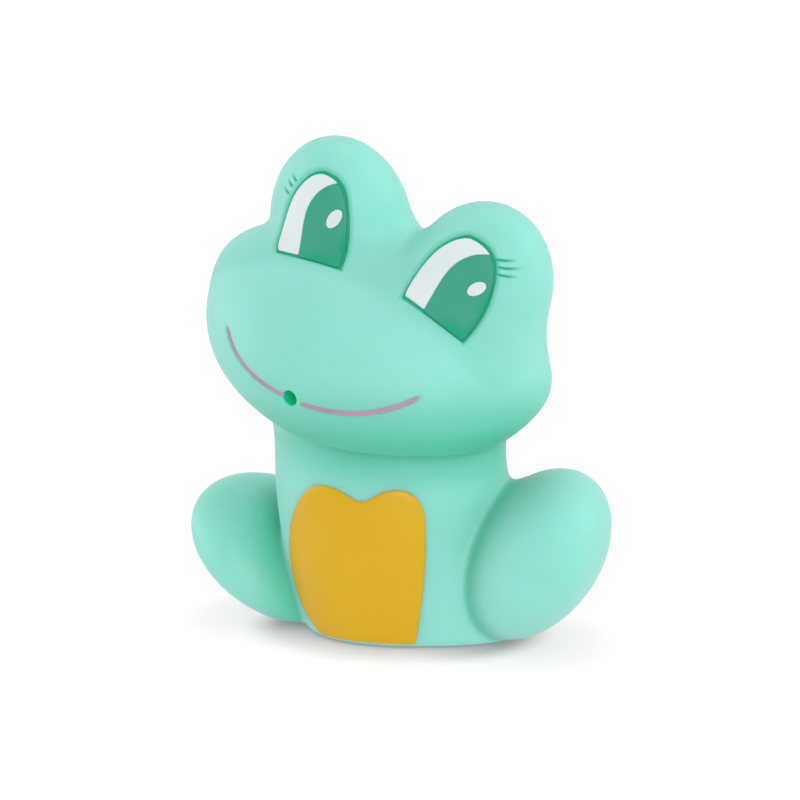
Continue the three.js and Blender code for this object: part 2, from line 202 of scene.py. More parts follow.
# Mesh fineness: the size of a triangle, how the points settle, and how near to a fine feature
# the triangles are split, once for each distance
skin_step = 0.8
settle_rounds = 5
relax_rounds = 4
relax_settle_rounds = 2
split_settle_rounds = 3
body_split_reaches = (1.6, 0.8)
head_split_reaches = (1.6, 0.9, 0.55)

# How a point is moved along +Y until it meets a surface
meeting_rounds = 160
meeting_share = 0.6
meeting_start = -30
meeting_stop = 8

# How far apart the points of the outlines and lines are
eye_outline_step = 0.25
eye_part_step = 0.2
eye_cut_step = 0.1
mouth_line_step = 0.25
mouth_outline_step = 0.15
lash_step = 0.2
bib_outline_step = 0.3

# The triangles of a coat: their size inside its outline, how far from the outline the finer rows
# lie, how clear of them the rest stays, and how near two points count as one
coat_step = 0.6
glint_step = 0.3
mouth_step = 0.25
bib_step = 0.7
coat_rows = (0.04, 0.1, 0.2, 0.4)
clear_of_rows = 1.3
same_place = 1e-5


def screen_colour(value):
    """A colour as it looks on a screen, from 0 to 255, as the light that a shader needs."""
    return tuple(((part / 255 + 0.055) / 1.055) ** 2.4 for part in value) + (1,)


def turned(angles):
    """The axes that a turn about X, then Y, then Z gives, in degrees."""
    return np.array(Euler([math.radians(angle) for angle in angles], "XYZ").to_matrix())


def egg(centre, sizes, turn=(0, 0, 0)):
    """How far a point is outside an egg, nearly, from its centre, full sizes and turn."""
    axes = turned(turn)
    radii = np.array(sizes) / 2

    def field(points):
        scaled = (points - np.array(centre)) @ axes / radii
        first = np.linalg.norm(scaled, axis=-1)
        second = np.linalg.norm(scaled / radii, axis=-1)
        return first * (first - 1) / np.maximum(second, nearly_nothing)

    return field


def smooth_step(value, low, high):
    """From 0 at low to 1 at high, with soft ends."""
    share = np.clip((value - low) / (high - low), 0, 1)
    return share * share * (3 - 2 * share)


def swelling(a, b, blend):
    """How far two forms swell towards each other where their surfaces come close."""
    overlap = np.maximum(blend - np.abs(a - b), 0) / blend
    return overlap * overlap * blend / 4


def blended(a, b, blend):
    """Two forms joined, with a fillet between them."""
    return np.minimum(a, b) - swelling(a, b, blend)


def cut_by(a, b, blend):
    """What is left of a where it is also inside b, with a soft edge between the two."""
    return np.maximum(a, b) + swelling(a, b, blend)


def from_axis(points):
    """How far a point is from the upright axis that the head turns about."""
    return np.hypot(points[..., 0], points[..., 1] + torso_forward)


torso_field = egg((torso_aside, -torso_forward, torso_middle_height),
                  (torso_width, torso_depth, torso_egg_height))
rump_field = egg(rump_centre, rump_sizes)
haunch_fields = [
    egg(left_haunch_centre, left_haunch_sizes, left_haunch_turn),
    egg(right_haunch_centre, right_haunch_sizes, right_haunch_turn),
]
head_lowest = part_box("head_skin")[0].z / MM


def belly_field(points):
    """The body's own forms without the haunches."""
    return blended(torso_field(points), rump_field(points), rump_fillet)


def body_field(points):
    """The body's skin, with the round seat that the head turns on."""
    forms = belly_field(points)
    height = points[..., 2]
    up = smooth_step(height, *haunch_top_heights)
    fillet = haunch_fillet + up * (haunch_top_fillet - haunch_fillet)
    for haunch_field in haunch_fields:
        forms = blended(forms, haunch_field(points), fillet)
    outward = from_axis(points) - neck_radius
    seat = cut_by(outward, neck_top - neck_seat_height - height, neck_edge_blend)
    seat = cut_by(seat, height - neck_top, neck_edge_blend)
    whole = blended(forms, seat, neck_blend)
    room_below = under_head_slope * np.maximum(head_lowest - height, 0)
    whole = cut_by(whole, outward - seat_overrun - room_below, socket_edge_blend)
    whole = np.maximum(whole, height - neck_top)
    return cut_by(whole, -height, base_edge_blend)


crown_field = egg(crown_centre, crown_sizes)
nape_field = egg(nape_centre, nape_sizes)
muzzle_field = egg(muzzle_centre, muzzle_sizes)
dome_fields = [egg((side * dome_centre[0], *dome_centre[1:]), dome_sizes,
                   (dome_pitch, side * dome_tilt, 0)) for side in (-1, 1)]


def face_field(points):
    """The head's own forms, in the head's own frame."""
    skull = blended(crown_field(points), nape_field(points), nape_blend)
    whole = blended(muzzle_field(points), skull, muzzle_blend)
    outer = smooth_step(-points[..., 0], *outer_corner_side)
    right_blend = dome_blend + outer * (outer_corner_blend - dome_blend)
    for dome_field, blend in zip(dome_fields, (right_blend, dome_blend)):
        whole = blended(whole, dome_field(points), blend)
    return whole


head_axes = turned(head_turn)


def out_of_head(points):
    """From the head's own frame to the toy's."""
    return points @ head_axes.T + np.array(head_place)


def slope_of(field, points, reach=0.01):
    """The field's value and its slope at each point."""
    value = field(points)
    slope = np.empty_like(points)
    for axis in range(3):
        shift = np.zeros(3)
        shift[axis] = reach
        slope[:, axis] = (field(points + shift) - field(points - shift)) / (2 * reach)
    return value, slope


def settled(field, points, rounds=settle_rounds):
    """Each point slides along the slope until it lies on the surface."""
    for _ in range(rounds):
        value, slope = slope_of(field, points)
        steepness = np.maximum((slope ** 2).sum(1), nearly_nothing)
        points = points - slope * (value / steepness)[:, None]
    return points


def outward_of(field, points):
    """The direction straight out of a surface at each point."""
    slope = slope_of(field, points)[1]
    return slope / np.linalg.norm(slope, axis=1)[:, None]


def onto_front(field, places):
    """The first point that a line along +Y through each X and Z place meets on a surface."""
    x, z = np.asarray(places, float).T
    points = np.column_stack([x, np.full(len(x), float(meeting_start)), z])
    for _ in range(meeting_rounds):
        step = meeting_share * field(points)
        points[:, 1] = np.minimum(points[:, 1] + step, meeting_stop)
    return points


def relaxed(points, faces):
    """Each point moves to the middle of its neighbours."""
    starts = faces.ravel()
    ends = np.roll(faces, -1, axis=1).ravel()
    both = np.concatenate([starts, ends])
    other = np.concatenate([ends, starts])
    count = np.bincount(both, minlength=len(points))[:, None]
    sums = [np.bincount(both, points[other, axis], len(points)) for axis in range(3)]
    return np.column_stack(sums) / count


def wrapped(field, low, high, step):
    """A mesh of small triangles round a field, settled onto its surface."""
    axes = [np.arange(a - 2 * step, b + 3 * step, step) for a, b in zip(low, high)]
    grid = np.stack(np.meshgrid(*axes, indexing="ij"), axis=-1)
    inside = field(grid) < 0
    size = inside.shape
    filled = np.zeros([n - 1 for n in size], int)
    for corner in itertools.product((0, 1), repeat=3):
        filled += inside[tuple(slice(c, n - 1 + c) for c, n in zip(corner, size))]
    mixed = (filled > 0) & (filled < 8)
    number = np.full(mixed.shape, -1)
    number[mixed] = np.arange(mixed.sum())
    points = grid[:-1, :-1, :-1][mixed] + step / 2
    quads = []
    for axis in range(3):
        along, u, v = np.eye(3, dtype=int)[[axis, (axis + 1) % 3, (axis + 2) % 3]]
        lower = inside[tuple(slice(0, n - a) for n, a in zip(size, along))]
        upper = inside[tuple(slice(a, n) for n, a in zip(size, along))]
        places = np.argwhere(lower != upper)
        around = [places - u - v, places - v, places, places - u]
        quad = np.column_stack([number[tuple(cell.T)] for cell in around])
        flip = ~lower[tuple(places.T)]
        quad[flip] = quad[flip][:, ::-1]
        quads.append(quad)
    quads = np.concatenate(quads)
    points = settled(field, points)
    for _ in range(relax_rounds):
        points = settled(field, relaxed(points, quads), relax_settle_rounds)
    first = np.linalg.norm(points[quads[:, 0]] - points[quads[:, 2]], axis=1)
    second = np.linalg.norm(points[quads[:, 1]] - points[quads[:, 3]], axis=1)
    quads = np.where((first <= second)[:, None], quads, np.roll(quads, 1, axis=1))
    faces = np.concatenate([quads[:, [0, 1, 2]], quads[:, [0, 2, 3]]])
    return points, faces


def refined(points, faces, wanted):
    """Splits each wanted triangle in four, and its neighbours where they share a split edge."""
    ends = np.sort(faces[:, [0, 1, 1, 2, 2, 0]].reshape(-1, 2), axis=1)
    keys, number = np.unique(ends[:, 0] * len(points) + ends[:, 1], return_inverse=True)
    number = number.reshape(-1, 3)
    split = np.zeros(len(keys), bool)
    split[number[wanted]] = True
    while True:
        count = split[number].sum(1)
        if not (count == 2).any():
            break
        split[number[count == 2]] = True
    middle = np.full(len(keys), -1)
    middle[split] = len(points) + np.arange(split.sum())
    halves = np.column_stack([keys[split] // len(points), keys[split] % len(points)])
    points = np.concatenate([points, points[halves].mean(1)])
    made = [faces[count == 0]]
    for edge in range(3):
        alone = (count == 1) & split[number[:, edge]]
        a, b, c = np.roll(faces[alone], -edge, axis=1).T
        m = middle[number[alone, edge]]
        made += [np.column_stack([a, m, c]), np.column_stack([m, b, c])]
    a, b, c = faces[count == 3].T
    ab, bc, ca = middle[number[count == 3]].T
    made += [np.column_stack(corners) for corners in
             ((a, ab, ca), (ab, b, bc), (ca, bc, c), (ab, bc, ca))]
    return points, np.concatenate(made)


def path_distance(points, path, closed=False):
    """How far each point is from a path of straight steps, and how far along it, from 0 to 1."""
    starts = np.asarray(path)
    ends = np.roll(starts, -1, axis=0)
    if not closed:
        starts, ends = starts[:-1], ends[:-1]
    best = np.full(len(points), np.inf)
    along = np.zeros(len(points))
    for index, (a, b) in enumerate(zip(starts, ends)):
        length = max(((b - a) ** 2).sum(), nearly_nothing)
        share = np.clip((points - a) @ (b - a) / length, 0, 1)
        distance = np.linalg.norm(points - a - share[:, None] * (b - a), axis=1)
        nearer = distance < best
        best[nearer] = distance[nearer]
        along[nearer] = (index + share[nearer]) / len(starts)
    return best, along


def is_within(places, outline):
    """Which X and Z places lie inside a closed outline."""
    inside = np.zeros(len(places), bool)
    x, z = np.asarray(places).T
    for (ax, az), (bx, bz) in zip(outline, np.roll(outline, -1, axis=0)):
        crosses = (az > z) != (bz > z)
        reach = ax + (z - az) / (bz - az if bz != az else 1) * (bx - ax)
        inside ^= crosses & (x < reach)
    return inside


def bezier(points, count=24):
    """Points along a curve that its end points and pull points give."""
    share = np.linspace(0, 1, count)[:, None]
    points = [np.asarray(point, float) for point in points]
    degree = len(points) - 1
    return sum(math.comb(degree, k) * share ** k * (1 - share) ** (degree - k) * point
               for k, point in enumerate(points))


def outline_of(*curves, count=24):
    """A closed outline of curves that each start where the last one ends."""
    return np.concatenate([bezier(curve, count)[:-1] for curve in curves])


def even(path, spacing, closed=False):
    """The same path with its points an even distance apart."""
    path = np.asarray(path, float)
    if closed:
        path = np.concatenate([path, path[:1]])
    steps = np.linalg.norm(np.diff(path, axis=0), axis=1)
    run = np.concatenate([[0], np.cumsum(steps)])
    count = max(int(round(run[-1] / spacing)), 2)
    at = np.linspace(0, run[-1], count + 1)
    made = np.column_stack([np.interp(at, run, path[:, axis]) for axis in range(path.shape[1])])
    return made[:-1] if closed else made


def inset(outline, amount):
    """A closed outline moved inward by the same amount all round."""
    ahead, behind = np.roll(outline, -1, axis=0), np.roll(outline, 1, axis=0)
    along = (ahead - behind) / np.linalg.norm(ahead - behind, axis=1)[:, None]
    area = (outline[:, 0] * ahead[:, 1] - ahead[:, 0] * outline[:, 1]).sum()
    inward = np.column_stack([-along[:, 1], along[:, 0]]) * math.copysign(1, area)
    moved = outline + inward * amount
    nearly_all = 0.97
    clear = path_distance(moved, outline, closed=True)[0] > abs(amount) * nearly_all
    return moved[clear]


def inside_box(points, node):
    """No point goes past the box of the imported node."""
    low, high = (np.array(corner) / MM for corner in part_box(node))
    return np.clip(points, low, high)


scene = bpy.context.scene


def as_piece(name, points, faces, body, nodes, finish, masks=None):
    """A smooth mesh object in metres that rides on a body and stands for CAD nodes."""
    mesh = bpy.data.meshes.new(name)
    mesh.from_pydata((points * MM).tolist(), [], faces.tolist())
    mesh.polygons.foreach_set("use_smooth", [True] * len(mesh.polygons))
    for mask, values in (masks or {}).items():
        attribute = mesh.attributes.new(mask, "FLOAT", "POINT")
        attribute.data.foreach_set("value", np.asarray(values, np.float32))
    mesh.update()
    mesh.materials.append(finish.material)
    piece = bpy.data.objects.new(name, mesh)
    scene.collection.objects.link(piece)
    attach(piece, body)
    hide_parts(*nodes)
    return piece


class Signal:
    """A shader socket that can be used in a Python expression."""

    def __init__(self, nodes, socket):
        self.nodes = nodes
        self.socket = socket

    def maths(self, operation, first, second):
        return self.nodes.node("ShaderNodeMath", {"operation": operation}, {0: first, 1: second})

    def or_more(self, other):
        """The larger of the two."""
        return self.maths("MAXIMUM", self, other)

    def __add__(self, other):
        return self.maths("ADD", self, other)

    def __mul__(self, other):
        return self.maths("MULTIPLY", self, other)

    def __sub__(self, other):
        return self.maths("SUBTRACT", self, other)

    def __rsub__(self, other):
        return self.maths("SUBTRACT", other, self)

    __radd__ = __add__
    __rmul__ = __mul__


class Nodes:
    """The nodes of a material or of the world."""

    def __init__(self, owner):
        owner.use_nodes = True
        self.tree = owner.node_tree

    def node(self, kind, settings=None, inputs=None, output=0):
        """A new node, with its settings and what feeds its sockets. It gives one output."""
        made = self.tree.nodes.new(kind)
        for name, value in (settings or {}).items():
            setattr(made, name, value)
        for name, value in (inputs or {}).items():
            self.feed(made.inputs[name], value)
        return Signal(self, made.outputs[output])

    def feed(self, socket, value):
        """Links a signal to a socket, or sets a plain value there."""
        if isinstance(value, Signal):
            self.tree.links.new(value.socket, socket)
        else:
            socket.default_value = value

    def looked_at(self):
        """1 where the camera or a reflection looks, 0 where light only bounces."""
        direct, mirrored = (self.node("ShaderNodeLightPath", output=ray)
                            for ray in ("Is Camera Ray", "Is Glossy Ray"))
        return direct.or_more(mirrored)


# The sockets of a Mix node that take and give colours
mix_first_colour, mix_second_colour, mix_colour = 6, 7, 2


class Finish(Nodes):
    """A node material for one finish of the toy."""

    def __init__(self, title, **constants):
        self.material = bpy.data.materials.new(title)
        super().__init__(self.material)
        self.shader = self.tree.nodes["Principled BSDF"]
        for name, value in constants.items():
            socket = name.replace("_", " ").title().replace("Ior", "IOR")
            self.shader.inputs[socket].default_value = value
        self.place = self.node("ShaderNodeTexCoord", output="Object")

    def noise(self, size, detail=2):
        """Soft noise whose spots are about the given size in millimetres."""
        return self.node("ShaderNodeTexNoise", {"noise_dimensions": "3D"},
                         {"Vector": self.place, "Scale": 1 / (size * MM), "Detail": detail})

    def mask(self, name):
        """A value that the mesh keeps at each of its points."""
        return self.node("ShaderNodeAttribute", {"attribute_name": name}, output="Fac")

    def spread(self, value, low, high):
        """The value stretched so that low gives 0 and high gives 1, smoothly."""
        return self.node("ShaderNodeMapRange", {"interpolation_type": "SMOOTHSTEP"},
                         {"Value": value, "From Min": low, "From Max": high})

    def mix(self, share, first, second):
        """A colour between two colours."""
        colours = {mix_first_colour: first, mix_second_colour: second}
        return self.node("ShaderNodeMix", {"data_type": "RGBA"}, {"Factor": share, **colours},
                         mix_colour)

    def clouded(self, colours, size):
        """Two colours that change into each other in soft clouds of about the given size."""
        cloud = self.spread(self.noise(size), cloud_low, cloud_high)
        first, second = colours
        return self.mix(cloud, screen_colour(first), screen_colour(second))

    def bump(self, height, depth):
        """Relief of the given depth in millimetres."""
        return self.node("ShaderNodeBump", inputs={"Height": height, "Distance": depth * MM})

    def wire(self, **sockets):
        """Feeds the named sockets of the shader."""
        for name, value in sockets.items():
            self.feed(self.shader.inputs[name.replace("_", " ").title()], value)


# Colours as they look on a screen
vinyl_colours = (148, 224, 209), (151, 227, 213)
# Painted shade: a deeper green for creases, grooves, hollows, round the neck and under the chin
vinyl_painted_shade_colour = (24, 184, 144)
# Painted glow inside the squirt hole
hole_painted_glow_colour = (8, 172, 116)
eye_white_colours = (230, 238, 239), (227, 236, 237)
eye_green_colours = (62, 163, 135), (57, 159, 131)
# Painted shade along the rim of the green part of each eye
eye_green_painted_shade_colour = (10, 158, 120)
glint_colours = (228, 236, 240), (224, 233, 238)
mouth_pink_colours = (196, 144, 172), (182, 140, 163)
bib_yellow_colours = (223, 176, 8), (221, 173, 8)
no_glow = (0, 0, 0, 1)

# Soft clouds in each colour and in the gloss, and fine specks in each surface
cloud_low, cloud_high = 0.35, 0.65
vinyl_cloud_size = 14
paint_cloud_size = 6
mouth_cloud_size = 5
bib_cloud_size = 12
vinyl_speck_size = 0.35
vinyl_speck_depth = 0.012
paint_speck_size = 0.4
paint_speck_depth = 0.008
roughness_change = 0.06
vinyl_gloss_cloud_size = 3
paint_gloss_cloud_size = 2
vinyl_roughness = 0.46
eye_white_roughness = 0.5
eye_green_roughness = 0.55
mouth_roughness = 0.5
bib_roughness = 0.38


def vinyl_finish():
    """Soft vinyl that lets light through, with painted shade in a deeper green and a painted glow
    in the squirt hole.
    """
    finish = Finish("mint_soft_vinyl", subsurface_weight=0.7, subsurface_scale=0.004,
                    subsurface_radius=(0.3, 1.0, 0.75), ior=1.46, specular_ior_level=0.25,
                    sheen_weight=0.1, sheen_roughness=0.4, emission_strength=0.25)
    colour = finish.clouded(vinyl_colours, vinyl_cloud_size)
    # Painted shade: the deeper green mixed in where the mesh's painted shade mask says
    colour = finish.mix(finish.mask("painted_shade"), colour, screen_colour(vinyl_painted_shade_colour))
    speck = finish.noise(vinyl_speck_size, detail=4)
    # Painted glow inside the squirt hole
    glow = finish.mix(finish.mask("glow"), no_glow, screen_colour(hole_painted_glow_colour))
    finish.wire(base_color=colour, emission_color=glow,
                roughness=vinyl_roughness + roughness_change * finish.noise(vinyl_gloss_cloud_size),
                normal=finish.bump(speck, vinyl_speck_depth))
    return finish


def paint_finish(name, colours, roughness, cloud_size=paint_cloud_size, rim=None):
    """Thin paint, with painted shade in a second, deeper colour along the rim where it has one."""
    finish = Finish(name, ior=1.4)
    colour = finish.clouded(colours, cloud_size)
    if rim:
        colour = finish.mix(finish.mask("rim"), colour, screen_colour(rim))
    speck = finish.noise(paint_speck_size, detail=3)
    finish.wire(base_color=colour,
                roughness=roughness + roughness_change * finish.noise(paint_gloss_cloud_size),
                normal=finish.bump(speck, paint_speck_depth))
    return finish


vinyl = vinyl_finish()
white_paint = paint_finish("eye_white_paint", eye_white_colours, eye_white_roughness)
green_paint = paint_finish("eye_green_paint", eye_green_colours, eye_green_roughness,
                           rim=eye_green_painted_shade_colour)
glint_paint = paint_finish("glint_white_paint", glint_colours, eye_white_roughness)
pink_paint = paint_finish("mouth_pink_paint", mouth_pink_colours, mouth_roughness, mouth_cloud_size)
yellow_paint = paint_finish("bib_yellow_paint", bib_yellow_colours, bib_roughness, bib_cloud_size)


# Eyes, in X and Z of the head: an upright arch over a slanting lower edge with two sharp
# corners. The pulls say how each side of the arch leaves its corner.
eye_top = 22.8
glint_sizes = (1.95, 3.1)
glint_points = 40
eyes = [
    dict(side=1, name="left", outer=(17.95, 8.5), outer_pull=(1, 6.5), inner=(6.4, 11.5),
         inner_pull=(-3.1, 3.1), top=(12.7, eye_top), arch=(3.6, 7.4), lower_bulge=0.7,
         edge=[(11.3, 9), (7.7, 14), (12.4, 22.7), (18.5, 20.9)],
         glint=(16.1, 15.7), glint_lean=45),
    dict(side=-1, name="right", outer=(-15.9, 9.4), outer_pull=(-3.8, 0.4), inner=(-3.9, 11.65),
         inner_pull=(-4.3, 3.5), top=(-13.2, eye_top), arch=(6.3, 5.2), lower_bulge=0.6,
         edge=[(-10.5, 9.5), (-17, 12.9), (-14.1, 23.1), (-8.7, 21.8)],
         glint=(-9.5, 16.6), glint_lean=17),
]


def eye_outline(eye):
    """The whole outline of one eye, white and green together."""
    outer, inner, top = (np.array(eye[corner]) for corner in ("outer", "inner", "top"))
    inner_arch, outer_arch = eye["arch"]
    outline = outline_of(
        [outer, outer + eye["outer_pull"], top + (eye["side"] * outer_arch, 0), top],
        [top, top - (eye["side"] * inner_arch, 0), inner + eye["inner_pull"], inner],
        [inner, (inner + outer) / 2 + (0, eye["lower_bulge"]), outer],
    )
    return even(outline, eye_outline_step, closed=True)


def glint_outline(centre, lean):
    """An oval at a place in X and Z that leans by some degrees."""
    angles = np.linspace(0, 2 * math.pi, glint_points, endpoint=False)
    oval = np.column_stack([np.cos(angles), np.sin(angles)]) * glint_sizes / 2
    tilt = math.radians(lean)
    turn = np.array([[math.cos(tilt), -math.sin(tilt)], [math.sin(tilt), math.cos(tilt)]])
    return oval @ turn + centre


# Mouth line: from near the squirt hole to each corner of the mouth, with two pulls between
mouth_lines = {
    "left": [(1.1, -3.9), (6, -3.5), (13.6, -2.1), (17.35, 2.6)],
    "right": [(-1.7, -3.78), (-7, -4.1), (-12.3, -3.1), (-17, 0.3)],
}

# Lashes: fine grooves beside the upper outer part of each eye, from the eye outward
lashes = [
    [(17.1, 20.75), (18.5, 20.75), (20.2, 21.15)],
    [(17.75, 19.75), (19.3, 19.7), (21.25, 20.2)],
    [(18, 18.75), (19.4, 18.55), (21.1, 18.9)],
    [(-17.5, 19.4), (-18.6, 19.4), (-19, 20.2)],
    [(-17.9, 18.35), (-19, 18.35), (-19.4, 19.1)],
    [(-18.2, 17.05), (-19.3, 17.05), (-19.7, 17.8)],
]


eye_back_limit = dome_centre[1] - 1
eye_shapes = {eye["name"]: eye_outline(eye) for eye in eyes}
eye_paths = {name: onto_front(face_field, outline) for name, outline in eye_shapes.items()}
mouth_curves = {name: even(bezier(places), mouth_line_step)
                for name, places in mouth_lines.items()}
mouth_paths = {name: onto_front(face_field, curve) for name, curve in mouth_curves.items()}
lash_paths = [onto_front(face_field, even(bezier(places), lash_step)) for places in lashes]
hole_mouth = onto_front(face_field, [squirt_hole_place])[0]
hole_inward = -hole_mouth / np.linalg.norm(hole_mouth)


def head_field(points):
    """The head's skin in its own frame, with the neck socket and the squirt hole cut."""
    standing = out_of_head(points)
    socket = np.maximum(from_axis(standing) - neck_radius - turn_gap,
                        standing[..., 2] - neck_top - turn_gap)
    whole = cut_by(face_field(points), -socket, socket_edge_blend)
    sunk = (points - hole_mouth) @ hole_inward
    reach = np.clip(sunk, -squirt_hole_overreach, squirt_hole_depth)
    offset = points - hole_mouth - reach[..., None] * hole_inward
    hole = np.linalg.norm(offset, axis=-1) - squirt_hole_radius
    return cut_by(whole, -hole, squirt_hole_edge)


def stroke_depth(points, path, depth, reach, fade_in, fade_out):
    """An engraved line that fades in at its start and out at its end."""
    distance, along = path_distance(points, path)
    ends = smooth_step(along, 0, fade_in) * smooth_step(1 - along, 0, fade_out)
    return depth * ends * (1 - smooth_step(distance, 0, reach))


def head_relief(points):
    """How deep each point of the head is pressed in, how much painted shade it gets, 0 to 1, and
    how much painted glow.
    """
    depth = np.zeros(len(points))
    deep = np.zeros(len(points))
    for name, path in eye_paths.items():
        low, high = path.min(0) - eye_room, path.max(0) + eye_room
        near = ((points > low) & (points < high)).all(1) & (points[:, 1] < eye_back_limit)
        spot = points[near]
        distance = path_distance(spot, path, closed=True)[0]
        inside = is_within(spot[:, [0, 2]], eye_shapes[name])
        signed = np.where(inside, -distance, distance)
        fall = 1 - smooth_step(signed, -eye_wall_width, eye_recess_lip)
        depth[near] = np.maximum(depth[near], eye_recess_depth * fall)
        # Painted shade on the wall of each eye's sunken outline, and a fainter ring of it outside
        painted_ring = eye_painted_shade_ring * (1 - smooth_step(signed, 0, eye_painted_shade_ring_width))
        deep[near] = np.maximum(deep[near], np.maximum(fall, painted_ring))
    front = points[:, 1] < lash_back_limit
    for path in lash_paths:
        near = front & (np.linalg.norm(points - path.mean(0), axis=1) < lash_room)
        pressed = stroke_depth(points[near], path, lash_depth, lash_reach, *lash_fades)
        depth[near] = np.maximum(depth[near], pressed)
        # Painted shade in the lash grooves
        deep[near] = np.maximum(deep[near], pressed / lash_depth)
    for path in mouth_paths.values():
        near = points[:, 1] < mouth_back_limit
        pressed = stroke_depth(points[near], path, mouth_groove_depth, mouth_groove_reach,
                               *mouth_groove_fades)
        depth[near] = np.maximum(depth[near], pressed)
        # Painted shade in the mouth groove
        deep[near] = np.maximum(deep[near], mouth_groove_painted_shade * pressed / mouth_groove_depth)
    # Painted glow inside the squirt hole, which also takes the painted shade
    sunk = (points - hole_mouth) @ hole_inward
    in_hole = np.linalg.norm(points - hole_mouth - sunk[:, None] * hole_inward, axis=1)
    side_margin, end_margin = hole_painted_glow_margins
    hole_inside = in_hole < squirt_hole_radius + side_margin
    hole_inside &= sunk < squirt_hole_depth + end_margin
    lit = hole_inside * smooth_step(sunk, *hole_painted_glow_depths)
    return depth, np.max([deep, lit, head_shade(points)], axis=0), lit


def head_shade(points):
    """How much painted shade a point of the head gets under the chin and above the muzzle, from 0
    to 1.
    """
    height = out_of_head(points)[:, 2]
    # Painted shade under the chin
    chin = chin_shade * (1 - smooth_step(height, head_lowest, head_lowest + chin_reach))
    # Painted shade in the crease above the muzzle
    muzzle = muzzle_field(points)
    above = np.min([field(points) for field in (crown_field, *dome_fields)], axis=0)
    on_brow = smooth_step(muzzle - above, -brow_edge, brow_edge)
    on_brow *= smooth_step(-points[:, 1], -brow_front, 0)
    brow = brow_shade * on_brow * (1 - smooth_step(muzzle, 0, brow_reach))
    return np.maximum(chin, brow)


def near_any(points, paths, reach, closed=False):
    """Which points lie nearer than the reach to one of the paths."""
    near = np.zeros(len(points), bool)
    for path in paths:
        box = ((points > path.min(0) - reach) & (points < path.max(0) + reach)).all(1)
        if box.any():
            near[box] |= path_distance(points[box], path, closed)[0] < reach
    return near


head_room = (-30, -27, -19), (30, 25, 28)


def build_head():
    """The head's skin, wrapped fine, split along its relief and pressed in there."""
    points, faces = wrapped(head_field, *head_room, skin_step)
    for reach in head_split_reaches:
        centres = points[faces].mean(1)
        wanted = near_any(centres, eye_paths.values(), reach, closed=True)
        wanted |= near_any(centres, [*mouth_paths.values(), *lash_paths], reach)
        wanted |= np.linalg.norm(centres - hole_mouth, axis=1) < squirt_hole_radius + reach
        standing = out_of_head(centres)
        rim = np.abs(from_axis(standing) - neck_radius - turn_gap) < reach
        rim &= np.abs(face_field(centres)) < reach
        wanted |= rim & (standing[:, 2] < neck_top)
        points, faces = refined(points, faces, wanted)
        points = settled(head_field, points, split_settle_rounds)
    depth, deep, lit = head_relief(points)
    points = points - outward_of(head_field, points) * depth[:, None]
    standing = inside_box(out_of_head(points) + toy_middle, "head_skin")
    # The masks carry the head's painted shade and painted glow
    return as_piece("head_moulding", standing, faces, "head", ["head_skin"], vinyl,
                    {"painted_shade": deep, "glow": lit})


# Bib: its outline is drawn in X and Z of the body. The pulls of each lobe are measured from the
# upper corner on its own side, and those beside the notch from the height of the top.
bib_left = 9.5
bib_right = 13.4
bib_top = 25.7
bib_lobe_drop = 0.4
bib_shoulder_drop = 4.6
bib_right_shoulder = (bib_shoulder_drop / 6, bib_shoulder_drop * 1.5)
bib_waist_drop = 8
bib_right_waist_rise = 1
bib_notch = (0.1, 23.7)
bib_notch_round = 0.9
bib_left_lobe = 3.4
bib_right_lobe = 4
bib_left_lobe_pulls = (-0.4, -0.6), (-2.8, 0.7)
bib_right_lobe_pulls = (4.6, 1.1), (2.2, -2.9)
bib_notch_pulls = (2.2, -1), (-2.4, -0.9)
bib_bottom = 0.75
bib_bottom_left = 7.2
bib_bottom_right = 8.3
bib_left_taper = 0.6
bib_left_rise = 6
bib_right_rise = 3.9
bib_right_bulge = 1.15


def bib_outline():
    """The bib's outline: base, waists, shoulders and the two lobes beside the notch."""
    left_top, right_top = np.array([bib_left, bib_top]), np.array([-bib_right, bib_top])
    notch, notch_top = np.array(bib_notch), np.array([bib_notch[0], bib_top])
    round_off = np.array([bib_notch_round, 0])
    shoulder = left_top - (0, bib_shoulder_drop)
    waist = shoulder - (0, bib_waist_drop)
    right_shoulder = right_top + (bib_right_shoulder[0], -bib_right_shoulder[1])
    left_lobe = notch_top + (bib_left_lobe, -bib_lobe_drop)
    right_lobe = notch_top - (bib_right_lobe, bib_lobe_drop)
    bottom_left, bottom_right = (bib_bottom_left, bib_bottom), (-bib_bottom_right, bib_bottom)
    bulge = -bib_right - bib_right_bulge
    outline = outline_of(
        [bottom_left, (bib_left - bib_left_taper, bib_bottom + bib_left_rise), waist, shoulder],
        [shoulder, *(left_top + pull for pull in bib_left_lobe_pulls), left_lobe],
        [left_lobe, notch_top + bib_notch_pulls[0], notch + round_off, notch],
        [notch, notch - round_off, notch_top + bib_notch_pulls[1], right_lobe],
        [right_lobe, *(right_top + pull for pull in bib_right_lobe_pulls), right_shoulder],
        [right_shoulder, (bulge, waist[1] + bib_right_waist_rise),
         (bulge, bib_bottom + bib_right_rise), bottom_right],
        [bottom_right, bottom_left],
    )
    return even(outline, bib_outline_step, closed=True)


